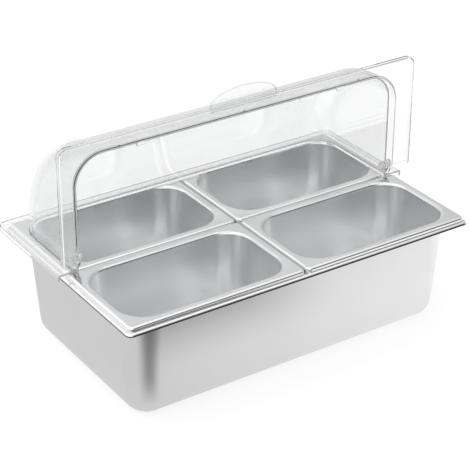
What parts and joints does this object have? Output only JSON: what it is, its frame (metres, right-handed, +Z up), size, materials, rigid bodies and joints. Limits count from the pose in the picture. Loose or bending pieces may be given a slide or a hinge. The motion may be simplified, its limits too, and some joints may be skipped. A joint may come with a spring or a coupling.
{
  "type": "countertop cold saladette",
  "caption": "Countertop cold server: a deep stainless pan with hung food pans, freezer packs below them and a clear roll-top cover that turns back on end pivots.",
  "frame": {"origin": "middle of the base pan's flat underside", "axes": "+X along the long side, +Y from the open front to the hood, +Z up"},
  "size_m": [0.548, 0.33, 0.358],
  "materials": {
    "base_steel": "satin",
    "pan_steel": "satin",
    "bar_steel": "satin",
    "clear_hood": "clear",
    "clear_lid": "clear",
    "clear_handle": "clear",
    "stud_plastic": "moulded",
    "pin_plastic": "moulded",
    "spacer_plastic": "moulded",
    "clip_plastic": "moulded",
    "pack_plastic": "blow moulded",
    "plug_plastic": "moulded"
  },
  "bodies": {
    "base": {"base_pan": "base_steel"},
    "hood": {"rear_hood": "clear_hood", "pivot_pin_left": "pin_plastic", "pivot_pin_right": "pin_plastic", "pivot_spacer_left": "spacer_plastic", "pivot_spacer_right": "spacer_plastic", "pivot_clip_left": "clip_plastic", "pivot_clip_right": "clip_plastic"},
    "lid": {"roll_lid": "clear_lid", "lid_handle": "clear_handle", "lid_stop_left": "stud_plastic", "lid_stop_right": "stud_plastic"},
    "divider": {"divider_bar": "bar_steel"},
    "pan_front_left": {"food_pan_front_left": "pan_steel"},
    "pan_front_right": {"food_pan_front_right": "pan_steel"},
    "pan_rear_left": {"food_pan_rear_left": "pan_steel"},
    "pan_rear_right": {"food_pan_rear_right": "pan_steel"},
    "pack_left": {"ice_pack_left": "pack_plastic", "ice_pack_plug_left": "plug_plastic"},
    "pack_right": {"ice_pack_right": "pack_plastic", "ice_pack_plug_right": "plug_plastic"}
  },
  "joints": [
    {"name": "hood_lift", "type": "slide", "parent": "base", "child": "hood", "axis": [0, 0, 1], "range_m": [0, 0.36]},
    {"name": "lid_roll", "type": "hinge", "parent": "hood", "child": "lid", "pos_m": [0, 0, 0.171], "axis": [1, 0, 0], "range_deg": [0, 90]},
    {"name": "pan_front_left_lift", "type": "slide", "parent": "base", "child": "pan_front_left", "axis": [0, 0, 1], "range_m": [0, 0.3106]},
    {"name": "pan_front_right_lift", "type": "slide", "parent": "base", "child": "pan_front_right", "axis": [0, 0, 1], "range_m": [0, 0.3106]},
    {"name": "pan_rear_left_lift", "type": "slide", "parent": "base", "child": "pan_rear_left", "axis": [0, 0, 1], "range_m": [0, 0.3106]},
    {"name": "pan_rear_right_lift", "type": "slide", "parent": "base", "child": "pan_rear_right", "axis": [0, 0, 1], "range_m": [0, 0.3106]},
    {"name": "divider_lift", "type": "slide", "parent": "base", "child": "divider", "axis": [0, 0, 1], "range_m": [0, 0.199]},
    {"name": "pack_left_lift", "type": "slide", "parent": "base", "child": "pack_left", "axis": [0, 0, 1], "range_m": [0, 0.1594]},
    {"name": "pack_right_lift", "type": "slide", "parent": "base", "child": "pack_right", "axis": [0, 0, 1], "range_m": [0, 0.1594]}
  ],
  "couplings": [
    {"joint": "pan_front_left_lift", "follows": "hood_lift", "ratio": 0.86},
    {"joint": "pan_front_right_lift", "follows": "hood_lift", "ratio": 0.86},
    {"joint": "pan_rear_left_lift", "follows": "hood_lift", "ratio": 0.86},
    {"joint": "pan_rear_right_lift", "follows": "hood_lift", "ratio": 0.86},
    {"joint": "divider_lift", "follows": "hood_lift", "ratio": 0.55},
    {"joint": "pack_left_lift", "follows": "hood_lift", "ratio": 0.44},
    {"joint": "pack_right_lift", "follows": "hood_lift", "ratio": 0.44}
  ]
}
